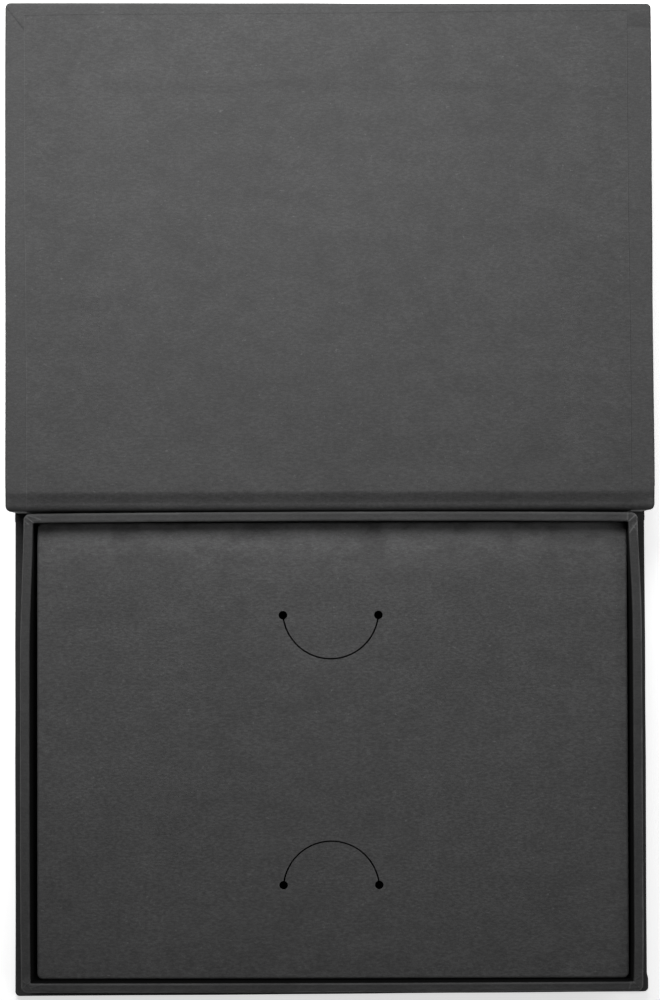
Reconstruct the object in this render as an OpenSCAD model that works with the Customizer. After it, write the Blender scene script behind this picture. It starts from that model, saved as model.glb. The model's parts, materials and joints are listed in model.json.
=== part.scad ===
// Clamshell book box, lying open: the cover is folded back flat behind the tray.
// X runs along the hinge, +Y points from the tray to the open cover, +Z is up.
// The origin is on the table, under the middle of the tray.

/* [Tray] */
// Outer width of the tray, along the hinge
tray_w = 143; // [115:0.5:200]
// Outer depth of the tray, from its front to its back
tray_d = 110.4; // [95:0.1:160]
// Height of the tray above the base board
tray_h = 20.1; // [14:0.1:45]
// Thickness of the grey board in the tray's walls and floor
tray_board_t = 1.9; // [1.2:0.1:3]
// Rounding of the papered rim
rim_r = 0.6; // [0.3:0.05:0.8]
// Rounding of the tray's upright corners
tray_corner_r = 1.3; // [0.6:0.1:2.5]
// Length of each leg of the tape that holds a tray corner together
stay_leg = 12; // [6:0.5:20]
// Width of the tray paper that is turned in under the floor
turn_under = 10; // [5:0.5:20]

/* [Case] */
// Overhang of the case boards past the tray, on its three free sides
square = 3.5; // [1:0.1:8]
// Thickness of the front and back case boards
case_board_t = 2; // [1.2:0.1:3]
// Thickness of the spine board
spine_t = 1.9; // [1.2:0.1:3]
// Rounding of the spine's upper edge beside the tray
spine_r = 0.9; // [0.3:0.1:1.1]
// Rounding of the free corners of the case boards
case_corner_r = 1.1; // [0.4:0.1:4]
// Width of the case paper that is turned in over the boards
turn_in = 19; // [10:0.5:30]
// Distance from the back of the tray to the edge of the closed cover board
cover_setback = 0.85; // [0.3:0.05:1.5]
// Width of the pressed joint between the spine and the open cover
joint_gap = 2.5; // [1.4:0.1:4]
// Depth of the groove pressed into that joint
joint_dip = 0.7; // [0.2:0.05:1]

/* [Papers] */
// Thickness of the case, tray and lining papers
paper_t = 0.15; // [0.1:0.01:0.2]
// Thickness of the corner tape and the paste beside it
tape_t = 0.1; // [0.05:0.01:0.2]
// Width of the seam where two turned-in papers meet at a corner
seam = 0.15; // [0.05:0.05:0.6]
// Margin from the left edge of the cover to its lining
liner_left = 4.3; // [1:0.1:9]
// Margin from the right edge of the cover to its lining
liner_right = 5.6; // [1:0.1:9]
// Margin from the far edge of the cover to its lining
liner_far = 1.7; // [1:0.1:9]
// Depth by which the lining sinks past the turned-in papers
liner_sink = 0.1; // [0.02:0.01:0.12]

/* [Platform] */
// Thickness of the folded card
card_t = 0.5; // [0.3:0.05:0.9]
// Depth of the platform's face below the rim
recess = 4.9; // [2:0.1:9]
// Outer radius of the platform's folds
fold_r = 1; // [0.6:0.1:2]
// Air between the platform and the left and right walls
platform_gap_x = 0.55; // [0.2:0.05:2]
// Air between the platform and the front and back walls
platform_gap_y = 0.25; // [0.15:0.05:2]

/* [Card tabs] */
// Distance between the fold lines of the two tabs
hold_l = 62.6; // [50:0.1:75]
// Distance between the two stop holes of a tab
tab_w = 22.2; // [12:0.1:40]
// Reach of a tab from its fold line to the crown of its slit
tab_reach = 10.15; // [6:0.05:12]
// Diameter of the stop holes
stop_d = 2; // [1.2:0.1:4]
// Width of the cut that frees a tab
slit = 0.4; // [0.2:0.05:1]
// Air along the fold line of a tab
fold_gap = 0.05; // [0.02:0.01:0.2]

/* [Hidden] */
$fn = 64;
eps = 0.01;

paper_col = [0.24, 0.24, 0.24];
liner_col = [0.28, 0.28, 0.28];
card_col = [0.25, 0.25, 0.25];
board_col = [0.55, 0.53, 0.5];
tape_col = [0.72, 0.62, 0.45];

// Layers of the tray wall, from the outside: paper, tape and paste, board, paper
skin_t = paper_t + tape_t;
wall_t = skin_t + tray_board_t + paper_t;
inner_w = tray_w - 2 * wall_t;
inner_d = tray_d - 2 * wall_t;

// Levels
base_t = case_board_t + 2 * paper_t;
rim_z = base_t + tray_h;
floor_z = base_t + paper_t + tray_board_t;
lining_z = floor_z + paper_t;
platform_z = rim_z - recess;

// The case: every board is wrapped, and the cover is also lined
case_w = tray_w + 2 * square;
leaf_l = tray_d + square - cover_setback;
cover_t = base_t + paper_t;
base_rear = tray_d / 2 - cover_setback;
spine_in = tray_d / 2 + 2 * paper_t;
spine_out = spine_in + spine_t;
spine_back = spine_out + paper_t;
spine_top = rim_z - 2 * paper_t;
cover_near = spine_back + joint_gap;
cover_low = rim_z - cover_t;
liner_x = [-case_w / 2 + liner_left, case_w / 2 - liner_right];
lining_slack = 0.2;
sink_start = 6;

// The platform
platform_w = inner_w - 2 * platform_gap_x;
platform_d = inner_d - 2 * platform_gap_y;
leg_h = platform_z - lining_z;
tab_r = (pow(tab_w / 2, 2) + pow(tab_reach, 2)) / (2 * tab_reach);
tab_drop = tab_reach - tab_r;
joint_steps = 12;

// Flat plate with rounded corners, centred on the origin
module plate(w, d, r) {
    square([w - 2 * r, d], center = true);
    square([w, d - 2 * r], center = true);
    for (sx = [-1, 1])
        for (sy = [-1, 1])
            translate([sx * (w / 2 - r), sy * (d / 2 - r)])
                circle(r);
}

// Section of a tray wall: x runs inwards from the outer face, y is the height
module wall_section(outer, inner, low, high, r) {
    width = wall_t - outer - inner;
    translate([outer, low])
        square([width, high - low - r]);
    translate([outer + r, low])
        square([width - 2 * r, high - low]);
    for (x = [outer + r, outer + width - r])
        translate([x, high - r])
            circle(r);
}

// One side of the tray with mitred ends, its outer face on y = 0
module mitred_side(span) {
    intersection() {
        translate([-span / 2, 0, 0])
            rotate([90, 0, 90])
                linear_extrude(span)
                    children();
        linear_extrude(rim_z + 1)
            polygon([
                [-span / 2, 0], [span / 2, 0],
                [span / 2 - wall_t, wall_t], [-span / 2 + wall_t, wall_t]
            ]);
    }
}

// All four tray walls as one ring, set in from the outer and inner faces
module wall_ring(outer, inner, low, high, r) {
    intersection() {
        union() {
            for (turn = [0, 180])
                rotate(turn)
                    translate([0, -tray_d / 2, 0])
                        mitred_side(tray_w)
                            wall_section(outer, inner, low, high, r);
            for (turn = [90, 270])
                rotate(turn)
                    translate([0, -tray_w / 2, 0])
                        mitred_side(tray_d)
                            wall_section(outer, inner, low, high, r);
        }
        linear_extrude(rim_z + 1)
            plate(tray_w - 2 * outer, tray_d - 2 * outer, tray_corner_r - outer);
    }
}

// The space that the tray's boards, tape and paste take up inside its paper
module tray_core() {
    wall_ring(paper_t, paper_t, base_t + paper_t, rim_z - paper_t, rim_r - paper_t);
    translate([0, 0, base_t + paper_t])
        linear_extrude(tray_board_t)
            plate(tray_w - 2 * paper_t, tray_d - 2 * paper_t, tray_corner_r - paper_t);
}

module wall_boards() {
    wall_ring(skin_t, paper_t, floor_z, rim_z - paper_t, rim_r - paper_t);
}

// A front or back wall: it runs the whole width of the tray
module long_wall(side) {
    color(board_col)
        intersection() {
            wall_boards();
            translate([-tray_w / 2, side > 0 ? inner_d / 2 + paper_t : -tray_d / 2, 0])
                cube([tray_w, wall_t - paper_t, rim_z]);
        }
}

// A left or right wall: it stands between the front and back walls
module short_wall(side) {
    color(board_col)
        intersection() {
            wall_boards();
            translate([side > 0 ? 0 : -tray_w / 2, -inner_d / 2 - paper_t, 0])
                cube([tray_w / 2, inner_d + 2 * paper_t, rim_z]);
        }
}

module tray_floor() {
    color(board_col)
        translate([0, 0, base_t + paper_t])
            linear_extrude(tray_board_t)
                plate(tray_w - 2 * skin_t, tray_d - 2 * skin_t, tray_corner_r - skin_t);
}

// Paper tape folded round an upright corner, between the boards and the paper
module corner_stay(sx, sy) {
    color(tape_col)
        intersection() {
            translate([0, 0, base_t + paper_t])
                linear_extrude(tray_h - paper_t - 2 * rim_r)
                    difference() {
                        plate(tray_w - 2 * paper_t, tray_d - 2 * paper_t, tray_corner_r - paper_t);
                        plate(tray_w - 2 * skin_t, tray_d - 2 * skin_t, tray_corner_r - skin_t);
                    }
            translate([sx * tray_w / 2, sy * tray_d / 2, rim_z / 2])
                cube([2 * stay_leg, 2 * stay_leg, rim_z], center = true);
        }
}

// One sheet: up the outside, over the rim, down the inside and in under the floor
module tray_paper() {
    color(paper_col)
        difference() {
            union() {
                wall_ring(0, 0, base_t, rim_z, rim_r);
                translate([0, 0, base_t])
                    linear_extrude(paper_t)
                        difference() {
                            plate(tray_w, tray_d, tray_corner_r);
                            square([tray_w - 2 * turn_under, tray_d - 2 * turn_under], center = true);
                        }
            }
            tray_core();
        }
}

module floor_lining() {
    color(liner_col)
        translate([0, 0, floor_z])
            linear_extrude(paper_t)
                square([inner_w - 2 * lining_slack, inner_d - 2 * lining_slack], center = true);
}

// Plan of a case board: near edge on y = 0, free corners rounded
module leaf_plan(inset) {
    r = case_corner_r - inset;
    w = case_w - 2 * inset;
    l = leaf_l - inset;
    translate([-w / 2, 0])
        square([w, l - r]);
    translate([-w / 2 + r, 0])
        square([w - 2 * r, l]);
    for (s = [-1, 1])
        translate([s * (w / 2 - r), l - r])
            circle(r);
}

module leaf_board() {
    color(board_col)
        translate([0, 0, paper_t])
            linear_extrude(case_board_t)
                leaf_plan(paper_t);
}

// The part of a case board that the turned-in papers leave bare
module leaf_field(inset) {
    w = case_w - 2 * turn_in - 2 * inset;
    translate([-w / 2, -eps])
        square([w, leaf_l - turn_in - inset + eps]);
}

// Case paper under a board, round its three free edges and turned in above it
module leaf_paper() {
    color(paper_col)
        difference() {
            linear_extrude(base_t)
                leaf_plan(0);
            translate([0, -eps, paper_t])
                linear_extrude(case_board_t)
                    leaf_plan(paper_t);
            translate([0, 0, paper_t])
                linear_extrude(case_board_t)
                    leaf_plan(paper_t);
            translate([0, 0, base_t - paper_t])
                linear_extrude(2 * paper_t)
                    leaf_field(0);
            for (s = [-1, 1])
                translate([s * (case_w / 2 - turn_in), leaf_l - turn_in, base_t - paper_t])
                    rotate(s > 0 ? 45 : 135)
                        translate([-seam, -seam / 2, 0])
                            cube([turn_in * sqrt(2) - case_corner_r, seam, 2 * paper_t]);
        }
}

module front_board() {
    translate([0, cover_near, cover_low])
        leaf_board();
}

module case_paper_front() {
    translate([0, cover_near, cover_low])
        leaf_paper();
}

module back_board() {
    translate([0, base_rear, 0])
        mirror([0, 1, 0])
            leaf_board();
}

module case_paper_back() {
    translate([0, base_rear, 0])
        mirror([0, 1, 0])
            leaf_paper();
}

// Lining of the cover: it lies over the turned-in papers and sinks between them
module liner_front() {
    color(liner_col)
        translate([0, cover_near, cover_low + base_t - paper_t])
            difference() {
                union() {
                    translate([liner_x[0], 0, paper_t])
                        cube([liner_x[1] - liner_x[0], leaf_l - liner_far, paper_t]);
                    linear_extrude(2 * paper_t)
                        intersection() {
                            leaf_field(lining_slack);
                            translate([-case_w / 2, 0])
                                square([case_w, leaf_l]);
                        }
                }
                translate([0, 0, 2 * paper_t - liner_sink])
                    linear_extrude(paper_t)
                        difference() {
                            leaf_field(2 * lining_slack);
                            translate([-case_w / 2, -1])
                                square([case_w, sink_start + 1]);
                        }
            }
}

// Section of the spine board, grown on its inner side and its top
module spine_section(grow) {
    r = spine_r + grow;
    translate([spine_in - grow + r, paper_t])
        square([spine_t + grow - r, spine_top + grow - paper_t]);
    translate([spine_in - grow, paper_t])
        square([spine_t + grow, spine_top + grow - paper_t - r]);
    translate([spine_in - grow + r, spine_top + grow - r])
        intersection() {
            circle(r);
            translate([-r, 0])
                square(r);
        }
}

// Stretch of the spine's section from x0 to x1
module along_hinge(x0, x1) {
    translate([x0, 0, 0])
        rotate([90, 0, 90])
            linear_extrude(x1 - x0)
                children();
}

// A paper layer on the inside and top of the spine
module spine_layer(from, to) {
    difference() {
        union() {
            spine_section(to);
            translate([spine_out, spine_top + from])
                square([paper_t, to - from]);
        }
        spine_section(from);
    }
}

module spine_board() {
    color(board_col)
        along_hinge(-case_w / 2 + paper_t, case_w / 2 - paper_t)
            spine_section(0);
}

// Case paper under the lower joint, up the back of the spine and round its two ends
module case_paper_spine() {
    color(paper_col) {
        along_hinge(-case_w / 2, case_w / 2)
            difference() {
                union() {
                    translate([base_rear, 0])
                        square([spine_out - base_rear, paper_t]);
                    translate([spine_out - paper_t, paper_t])
                        square([2 * paper_t, spine_top - paper_t]);
                    translate([spine_out, paper_t])
                        circle(paper_t);
                }
                translate([spine_out - 1, paper_t])
                    square([1, spine_top]);
            }
        for (s = [0, 1])
            mirror([s, 0, 0]) {
                along_hinge(case_w / 2 - paper_t, case_w / 2)
                    spine_section(paper_t);
                along_hinge(case_w / 2 - turn_in, case_w / 2)
                    spine_layer(0, paper_t);
            }
    }
}

// Lining of the spine: down between spine and tray, and over the spine's top
module liner_spine() {
    field = case_w / 2 - turn_in - lining_slack;
    color(liner_col)
        union() {
            along_hinge(liner_x[0], -field)
                spine_layer(paper_t, 2 * paper_t);
            along_hinge(-field, field)
                spine_layer(0, 2 * paper_t);
            along_hinge(field, liner_x[1])
                spine_layer(paper_t, 2 * paper_t);
        }
}

// Outline of a strip along a list of points. Its thickness is measured upright up to
// the given point, so that stacked strips meet face to face, and squarely beyond it.
function step_dir(p, i) = (p[i + 1] - p[i - 1]) / norm(p[i + 1] - p[i - 1]);
function ribbon_side(p, shift, upright) =
    [for (i = [0:len(p) - 1])
        i <= upright || i == len(p) - 1
            ? p[i] + [0, shift]
            : p[i] + shift * [-step_dir(p, i)[1], step_dir(p, i)[0]]];
function reversed(p) = [for (i = [len(p) - 1:-1:0]) p[i]];
function ribbon(p, t, upright) =
    concat(ribbon_side(p, t / 2, upright), reversed(ribbon_side(p, -t / 2, upright)));

// Height of the pressed groove below the joint's ends, u from 0 to 1 across it
function groove(u) = joint_dip * (1 - cos(360 * u)) / 2;
function joint_line(level) =
    [for (i = [0:joint_steps])
        [spine_back + joint_gap * i / joint_steps, level - groove(i / joint_steps)]];

// The outer paper leaves the groove's middle for the lower edge of the cover
function drop_line(level, low) =
    [for (i = [0:joint_steps])
        let (u = i / joint_steps, v = max(0, 2 * u - 1))
            [spine_back + joint_gap * u,
             v == 0
                 ? level - groove(u)
                 : level - joint_dip - (level - joint_dip - low) * (1 - cos(90 * v))]];

module case_paper_hinge() {
    outer_level = spine_top - paper_t / 2;
    margin_level = spine_top + (paper_t - eps) / 2;
    color(paper_col) {
        along_hinge(-case_w / 2, case_w / 2)
            polygon(ribbon(drop_line(outer_level, cover_low + paper_t / 2), paper_t, joint_steps / 2));
        along_hinge(-case_w / 2, liner_x[0])
            polygon(ribbon(joint_line(margin_level), paper_t + eps, joint_steps));
        along_hinge(liner_x[1], case_w / 2)
            polygon(ribbon(joint_line(margin_level), paper_t + eps, joint_steps));
    }
}

module liner_hinge() {
    color(liner_col)
        along_hinge(liner_x[0], liner_x[1])
            polygon(ribbon(joint_line(spine_top + paper_t), 2 * paper_t, joint_steps));
}

// Section of the folded card: a face with a leg at each side
module fold_section(w) {
    module outline(grow, drop) {
        r = fold_r - grow;
        width = w - 2 * grow;
        top = leg_h - grow;
        translate([-width / 2, -drop])
            square([width, top - r + drop]);
        translate([-width / 2 + r, -drop])
            square([width - 2 * r, top + drop]);
        for (s = [-1, 1])
            translate([s * (width / 2 - r), top - r])
                circle(r);
    }
    difference() {
        outline(0, 0);
        outline(card_t, 1);
    }
}

// Half disc beside the fold line, bounded by the slit's curve
module tab_plan(shift, trim) {
    intersection() {
        translate([0, -tab_drop])
            circle(tab_r + shift);
        translate([-tab_w, -2 * tab_w - trim])
            square([2 * tab_w, 2 * tab_w]);
    }
}

module stop_holes() {
    for (s = [-1, 1])
        translate([s * tab_w / 2, 0])
            circle(d = stop_d);
}

// Places a tab's plan at its fold line; the two tabs point at each other
module at_tab(side) {
    translate([0, side * hold_l / 2, platform_z - card_t])
        mirror([0, side > 0 ? 0 : 1, 0])
            children();
}

module card_tab(side) {
    color(card_col)
        at_tab(side)
            linear_extrude(card_t)
                difference() {
                    tab_plan(-slit / 2, fold_gap);
                    stop_holes();
                }
}

module platform_card() {
    color(card_col)
        difference() {
            translate([0, 0, lining_z])
                union() {
                    translate([-platform_w / 2 + fold_r, 0, 0])
                        rotate([90, 0, 90])
                            linear_extrude(platform_w - 2 * fold_r)
                                fold_section(platform_d);
                    translate([0, platform_d / 2 - fold_r, 0])
                        rotate([90, 0, 0])
                            linear_extrude(platform_d - 2 * fold_r)
                                fold_section(platform_w);
                }
            for (side = [-1, 1])
                at_tab(side)
                    translate([0, 0, -1])
                        linear_extrude(card_t + 2) {
                            tab_plan(slit / 2, 0);
                            stop_holes();
                        }
        }
}

front_board();
case_paper_front();
liner_front();
case_paper_hinge();
liner_hinge();
back_board();
case_paper_back();
spine_board();
case_paper_spine();
liner_spine();
tray_floor();
long_wall(-1);  // tray_wall_front
long_wall(1);  // tray_wall_back
short_wall(-1);  // tray_wall_left
short_wall(1);  // tray_wall_right
corner_stay(-1, -1);  // corner_stay_front_left
corner_stay(1, -1);  // corner_stay_front_right
corner_stay(-1, 1);  // corner_stay_back_left
corner_stay(1, 1);  // corner_stay_back_right
tray_paper();
floor_lining();
platform_card();
card_tab(1);  // rear_card_tab
card_tab(-1);  // front_card_tab
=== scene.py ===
import json
import math

import bmesh
import bpy
import numpy as np
from mathutils import Euler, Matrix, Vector


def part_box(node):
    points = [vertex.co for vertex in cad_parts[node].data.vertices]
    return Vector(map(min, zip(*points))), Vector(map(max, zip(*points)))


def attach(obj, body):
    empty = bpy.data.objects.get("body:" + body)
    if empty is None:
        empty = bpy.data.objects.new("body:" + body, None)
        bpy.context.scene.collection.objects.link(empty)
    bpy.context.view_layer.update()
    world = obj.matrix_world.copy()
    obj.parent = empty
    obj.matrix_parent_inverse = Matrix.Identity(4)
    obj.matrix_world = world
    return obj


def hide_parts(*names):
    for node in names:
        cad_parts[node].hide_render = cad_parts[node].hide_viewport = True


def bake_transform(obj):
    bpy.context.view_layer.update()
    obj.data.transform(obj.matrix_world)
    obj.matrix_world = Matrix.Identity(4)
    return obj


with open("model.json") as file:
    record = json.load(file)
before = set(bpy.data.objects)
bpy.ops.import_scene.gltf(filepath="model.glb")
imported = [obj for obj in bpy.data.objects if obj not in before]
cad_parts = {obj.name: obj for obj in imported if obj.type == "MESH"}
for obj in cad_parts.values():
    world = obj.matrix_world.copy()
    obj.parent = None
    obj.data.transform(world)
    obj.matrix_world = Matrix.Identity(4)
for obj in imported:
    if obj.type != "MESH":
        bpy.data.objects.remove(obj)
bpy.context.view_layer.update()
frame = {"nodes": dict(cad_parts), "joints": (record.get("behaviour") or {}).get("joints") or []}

# Lengths are in millimetres until a mesh is made
MM = 0.001

PAPER_T = 0.15
CARD_T = 0.5
TURN_IN = 19.0


def box_mm(node):
    """The lowest and highest corner of a node's box, in millimetres."""
    low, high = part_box(node)
    return np.array(low) / MM, np.array(high) / MM


# Places taken from the frame
COVER_LOW, COVER_HIGH = box_mm("case_paper_front")
LINING_LOW, LINING_HIGH = box_mm("liner_front")
BASE_LOW, BASE_HIGH = box_mm("case_paper_back")
TRAY_LOW, TRAY_HIGH = box_mm("tray_paper")
PLATFORM_LOW, PLATFORM_HIGH = box_mm("platform_card")
FLOOR_TOP = box_mm("tray_floor")[1][2]
RIM_Z = TRAY_HIGH[2]
SPINE_IN = TRAY_HIGH[1]
SPINE_BACK = box_mm("case_paper_spine")[1][1]
NEAR_Y = COVER_LOW[1]
FAR_Y = COVER_HIGH[1]
HALF_W = COVER_HIGH[0]
FOLD_Y = next(j["pos_m"][1] for j in frame["joints"] if j["name"] == "rear_tab_bend") / MM


def smooth(t):
    t = np.clip(t, 0, 1)
    return t * t * (3 - 2 * t)


def ramp(x, a, b):
    """Rises smoothly from 0 at a to 1 at b."""
    return smooth((x - a) / (b - a))


def waver(s, seed, period, size):
    """A slow hand-made waver along a length s."""
    rng = np.random.default_rng(seed)
    out = np.zeros_like(np.asarray(s, float))
    for k in range(1, 5):
        out = out + np.sin(2 * math.pi * k * s / period + rng.uniform(0, 6.28)) / k
    return size * out / 1.6


def spaced(a, b, step, fine=(), edge=()):
    """Grid lines from a to b: even steps, closer at both ends and round the fine places."""
    lines = list(np.linspace(a, b, max(2, int(round((b - a) / step)) + 1)))
    for e in edge:
        lines += [a + e, b - e]
    for centre, half, count in fine:
        lines += list(np.linspace(centre - half, centre + half, count))
    lines = sorted(v for v in lines if a <= v <= b)
    kept = [lines[0]]
    for v in lines[1:]:
        if v - kept[-1] > 0.015:
            kept.append(v)
    kept[-1] = b
    return np.array(kept)


def grid_faces(rows, columns, start=0):
    i, j = np.meshgrid(np.arange(rows - 1), np.arange(columns - 1), indexing="ij")
    a = start + i * columns + j
    return np.stack([a, a + 1, a + columns + 1, a + columns], -1).reshape(-1, 4)


def edge_loop(rows, columns):
    """Indices round the border of a grid, in order."""
    low = list(range(columns))
    right = [i * columns + columns - 1 for i in range(1, rows)]
    high = [(rows - 1) * columns + j for j in range(columns - 2, -1, -1)]
    left = [i * columns for i in range(rows - 2, 0, -1)]
    return np.array(low + right + high + left)


def new_piece(name, points, faces, material, sharp=35):
    """A mesh object from points in millimetres, with its normals outwards."""
    mesh = bpy.data.meshes.new(name)
    mesh.from_pydata((np.asarray(points, float) * MM).tolist(), [], [list(f) for f in faces])
    mesh.validate()
    obj = bpy.data.objects.new(name, mesh)
    bpy.context.scene.collection.objects.link(obj)
    mesh.materials.append(material)
    tidy_normals(obj, sharp)
    return obj


def tidy_normals(obj, sharp=35):
    bm = bmesh.new()
    bm.from_mesh(obj.data)
    bmesh.ops.recalc_face_normals(bm, faces=bm.faces)
    bm.to_mesh(obj.data)
    bm.free()
    obj.data.polygons.foreach_set("use_smooth", [True] * len(obj.data.polygons))
    obj.data.set_sharp_from_angle(angle=math.radians(sharp))


def baked(obj):
    """The object with its modifiers made part of the mesh."""
    depsgraph = bpy.context.evaluated_depsgraph_get()
    mesh = bpy.data.meshes.new_from_object(obj.evaluated_get(depsgraph))
    obj.modifiers.clear()
    obj.data = mesh
    return obj


def paint(obj, wear_and_highlight, shade):
    """The two point attributes that the papers read: paler for rubbed edges and painted highlights,
    darker for painted shade; each is one number or one for each point.
    """
    for name, values in (("wear_and_highlight", wear_and_highlight), ("shade", shade)):
        layer = obj.data.attributes.new(name, "FLOAT", "POINT")
        spread = np.broadcast_to(np.asarray(values, np.float32), len(obj.data.vertices))
        layer.data.foreach_set("value", np.array(spread))


def turn_faces(obj, up=True, face=0):
    """Flips a sheet's faces, unless the named face already looks up, or down."""
    if (obj.data.polygons[face].normal.z > 0) != up:
        obj.data.flip_normals()


def thicken(obj, thickness, even=False):
    """Gives a sheet its thickness, below its face."""
    solid = obj.modifiers.new("thickness", "SOLIDIFY")
    solid.thickness = thickness * MM
    solid.offset = -1
    solid.use_even_offset = even
    return baked(obj)


def edge_drop(inset, radius):
    """How far a rounded edge falls below the flat, at a distance in from the edge."""
    curve = radius - np.sqrt(np.maximum(radius**2 - (radius - inset) ** 2, 0))
    return np.where(inset < radius, curve, 0)


def round_corners(x, y, radius):
    """Draws the corners of a grid in, to a radius."""
    px, py = x.copy(), y.copy()
    for cx, sx in ((x[0, 0] + radius, -1), (x[0, -1] - radius, 1)):
        for cy, sy in ((y[0, 0] + radius, -1), (y[-1, 0] - radius, 1)):
            a, b = (x - cx) * sx, (y - cy) * sy
            zone = (a > 0) & (b > 0)
            reach = np.maximum(a, b) / np.maximum(np.hypot(a, b), 1e-9)
            px = np.where(zone, cx + sx * a * reach, px)
            py = np.where(zone, cy + sy * b * reach, py)
    return px, py


def coordinates(obj):
    """The mesh's points in millimetres."""
    points = np.zeros(len(obj.data.vertices) * 3)
    obj.data.vertices.foreach_get("co", points)
    return points.reshape(-1, 3) / MM


# Materials


class Nodes:
    """Short calls to build a material's node tree."""

    def __init__(self, name):
        self.material = bpy.data.materials.new(name)
        self.material.use_nodes = True
        self.tree = self.material.node_tree
        self.tree.nodes.clear()
        out = self.add("ShaderNodeOutputMaterial")
        self.shader = self.add("ShaderNodeBsdfPrincipled")
        self.link(self.shader.outputs[0], out.inputs[0])
        self.place = self.add("ShaderNodeTexCoord").outputs["Object"]

    def add(self, kind, **settings):
        node = self.tree.nodes.new(kind)
        for key, value in settings.items():
            setattr(node, key, value)
        return node

    def link(self, a, b):
        self.tree.links.new(a, b)

    def stretched(self, scale, turn=0.0):
        node = self.add("ShaderNodeMapping")
        node.inputs["Scale"].default_value = scale
        node.inputs["Rotation"].default_value = (0, 0, turn)
        self.link(self.place, node.inputs["Vector"])
        return node.outputs[0]

    def noise(self, where, scale, detail=2.0, rough=0.5, warp=0.0):
        node = self.add("ShaderNodeTexNoise")
        node.inputs["Scale"].default_value = scale
        node.inputs["Detail"].default_value = detail
        node.inputs["Roughness"].default_value = rough
        node.inputs["Distortion"].default_value = warp
        self.link(where, node.inputs["Vector"])
        return node.outputs["Fac"]

    def span(self, value, a, b, low, high):
        node = self.add("ShaderNodeMapRange", interpolation_type="SMOOTHSTEP")
        for socket, number in zip(("From Min", "From Max", "To Min", "To Max"), (a, b, low, high)):
            node.inputs[socket].default_value = number
        self.link(value, node.inputs["Value"])
        return node.outputs[0]

    def math(self, operation, a, b=None):
        node = self.add("ShaderNodeMath", operation=operation)
        for socket, value in zip(node.inputs, (a, b)):
            if value is None:
                continue
            if isinstance(value, (int, float)):
                socket.default_value = value
            else:
                self.link(value, socket)
        return node.outputs[0]

    def attribute(self, name):
        return self.add("ShaderNodeAttribute", attribute_name=name).outputs["Fac"]

    def scaled(self, colour, factor):
        node = self.add("ShaderNodeVectorMath", operation="SCALE")
        node.inputs[0].default_value = colour
        self.link(factor, node.inputs["Scale"])
        return node.outputs[0]

    def bump(self, height, strength, distance, below=None):
        node = self.add("ShaderNodeBump")
        node.inputs["Strength"].default_value = strength
        node.inputs["Distance"].default_value = distance
        self.link(height, node.inputs["Height"])
        if below is not None:
            self.link(below, node.inputs["Normal"])
        return node.outputs[0]


PAPER_ROUGH = (0.72, 0.9)
PAPER_GLOSS = 0.32
PAPER_SHEEN = 0.08
# Colours are red, green and blue shares of light
BOARD_GREY = (0.26, 0.235, 0.2)
CHARCOAL = 0.0385


def paper(name, tone, grain, speck, cloud=1.0):
    """Uncoated dyed paper: fibres, faint clouds and pale specks; paler where edges are rubbed and where
    highlights are painted, and darker where shade is painted.
    """
    n = Nodes(name)
    fibre = n.noise(n.stretched((0.42, 1.0, 1.0)), 2300, 3.0, 0.62, 0.4)
    tooth = n.noise(n.place, 4300, 2.0, 0.6)
    drift = n.noise(n.stretched((0.7, 1.0, 1.0)), 210, 3.0, 0.55, 0.3)
    clouds = n.noise(n.place, 38, 3.0, 0.55, 0.5)
    flecks = n.noise(n.stretched((0.6, 1.0, 1.0), 0.6), 1900, 1.0, 0.5, 0.9)
    factor = n.span(fibre, 0.3, 0.7, 1 - 0.17 * grain, 1 + 0.17 * grain)
    factor = n.math("MULTIPLY", factor, n.span(tooth, 0.3, 0.7, 1 - 0.08 * grain, 1 + 0.08 * grain))
    factor = n.math("MULTIPLY", factor, n.span(drift, 0.3, 0.7, 1 - 0.05 * cloud, 1 + 0.05 * cloud))
    factor = n.math("MULTIPLY", factor, n.span(clouds, 0.3, 0.7, 1 - 0.035 * cloud, 1 + 0.035 * cloud))
    pale = n.span(flecks, 0.7, 0.8, 0.0, 0.55 * speck)
    # Paler where edges are rubbed and where highlights are painted; darker, with less gloss and sheen,
    # where shade is painted
    paleness = n.math("MULTIPLY", n.attribute("wear_and_highlight"), n.span(drift, 0.32, 0.62, 0.35, 1.0))
    factor = n.math("ADD", factor, n.math("ADD", pale, n.math("MULTIPLY", paleness, 1.1)))
    open_share = n.math("SUBTRACT", 1.0, n.attribute("shade"))
    factor = n.math("MULTIPLY", factor, open_share)
    n.link(n.scaled(tone, factor), n.shader.inputs["Base Color"])
    n.link(n.span(fibre, 0.25, 0.75, *PAPER_ROUGH), n.shader.inputs["Roughness"])
    n.link(n.math("MULTIPLY", open_share, PAPER_GLOSS), n.shader.inputs["Specular IOR Level"])
    n.link(n.math("MULTIPLY", open_share, PAPER_SHEEN), n.shader.inputs["Sheen Weight"])
    n.shader.inputs["Sheen Roughness"].default_value = 0.5
    ground = n.bump(drift, 0.25, 0.00012)
    relief = n.bump(fibre, 0.55, 0.00004, ground)
    n.link(n.bump(tooth, 0.4, 0.00002, relief), n.shader.inputs["Normal"])
    return n.material


def grey_board(name):
    """Pressed recycled board with dark and pale bits in it."""
    n = Nodes(name)
    pulp = n.noise(n.stretched((0.6, 1, 1)), 900, 4.0, 0.65, 0.4)
    bits = n.noise(n.place, 1700, 1.0, 0.5)
    factor = n.math("ADD", n.span(pulp, 0.3, 0.7, 0.8, 1.15), n.span(bits, 0.66, 0.76, 0.0, -0.45))
    n.link(n.scaled(BOARD_GREY, factor), n.shader.inputs["Base Color"])
    n.shader.inputs["Roughness"].default_value = 0.92
    n.link(n.bump(pulp, 0.5, 0.00006), n.shader.inputs["Normal"])
    return n.material


def charcoal(strength):
    """The papers' dark grey, a trace bluer than neutral."""
    return (CHARCOAL * strength, CHARCOAL * strength, CHARCOAL * strength * 1.01)


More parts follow.
